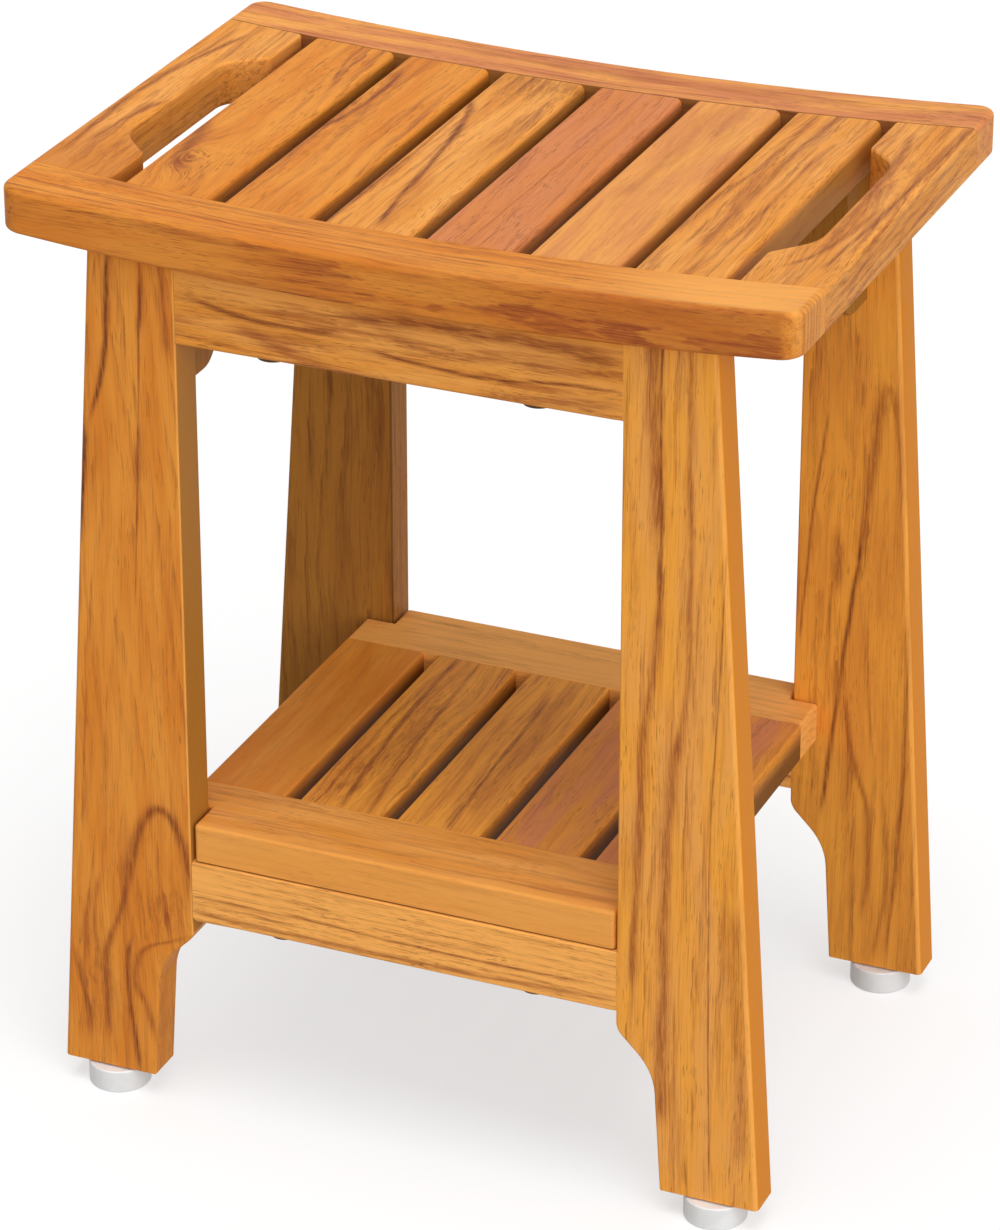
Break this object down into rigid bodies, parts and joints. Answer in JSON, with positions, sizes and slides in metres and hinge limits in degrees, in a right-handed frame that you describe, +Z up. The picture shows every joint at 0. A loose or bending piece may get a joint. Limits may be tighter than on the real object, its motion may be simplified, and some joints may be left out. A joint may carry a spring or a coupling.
{
  "type": "shower bench",
  "caption": "Small teak shower bench with a dished slatted seat, finger notches at its ends, splayed legs with S-shaped feet, a slatted lower shelf and round white screw-in glides.",
  "frame": {"origin": "on the floor, under the middle of the seat", "axes": "+X along the seat to the bench's right, +Y to its back, +Z up"},
  "size_m": [0.38, 0.27, 0.4655],
  "materials": {
    "teak_seat": "satin oiled teak, orange-brown with darker veins along each board",
    "teak_frame": "satin oiled teak, golden-brown with dark streaks along each board",
    "teak_shelf": "satin oiled teak, golden to reddish brown",
    "beech_dowel": "plain turned beech",
    "bronzed_steel": "dark bronzed steel, satin",
    "stainless_steel": "satin stainless steel",
    "brass": "plain turned brass",
    "white_plastic": "plain white moulded plastic"
  },
  "bodies": {
    "frame": {"seat_front_rail": "teak_seat", "seat_back_rail": "teak_seat", "seat_end_rail_left": "teak_seat", "seat_end_rail_right": "teak_seat", "seat_slat_1": "teak_seat", "seat_slat_2": "teak_seat", "seat_slat_3": "teak_seat", "seat_slat_4": "teak_seat", "seat_slat_5": "teak_seat", "seat_slat_6": "teak_seat", "leg_front_left": "teak_frame", "leg_front_right": "teak_frame", "leg_back_left": "teak_frame", "leg_back_right": "teak_frame", "apron_front": "teak_frame", "apron_back": "teak_frame", "stretcher_front": "teak_frame", "stretcher_back": "teak_frame", "corner_block_front_left": "teak_frame", "corner_block_front_right": "teak_frame", "corner_block_back_left": "teak_frame", "corner_block_back_right": "teak_frame", "shelf_front_rail": "teak_shelf", "shelf_back_rail": "teak_shelf", "shelf_slat_1": "teak_shelf", "shelf_slat_2": "teak_shelf", "shelf_slat_3": "teak_shelf", "shelf_slat_4": "teak_shelf", "shelf_slat_5": "teak_shelf", "block_dowels": "beech_dowel", "seat_bolts": "bronzed_steel", "shelf_bolts": "bronzed_steel", "block_screws": "stainless_steel", "seat_inserts": "brass", "shelf_inserts": "brass", "leg_inserts": "brass"},
    "glide_front_left": {"glide_pad_front_left": "white_plastic", "glide_stem_front_left": "stainless_steel"},
    "glide_front_right": {"glide_pad_front_right": "white_plastic", "glide_stem_front_right": "stainless_steel"},
    "glide_back_left": {"glide_pad_back_left": "white_plastic", "glide_stem_back_left": "stainless_steel"},
    "glide_back_right": {"glide_pad_back_right": "white_plastic", "glide_stem_back_right": "stainless_steel"}
  },
  "joints": [
    {"name": "glide_screw_front_left", "type": "slide", "parent": "frame", "child": "glide_front_left", "axis": [0, 0, -1], "range_m": [0, 0.006]},
    {"name": "glide_screw_front_right", "type": "slide", "parent": "frame", "child": "glide_front_right", "axis": [0, 0, -1], "range_m": [0, 0.006]},
    {"name": "glide_screw_back_left", "type": "slide", "parent": "frame", "child": "glide_back_left", "axis": [0, 0, -1], "range_m": [0, 0.006]},
    {"name": "glide_screw_back_right", "type": "slide", "parent": "frame", "child": "glide_back_right", "axis": [0, 0, -1], "range_m": [0, 0.006]}
  ]
}
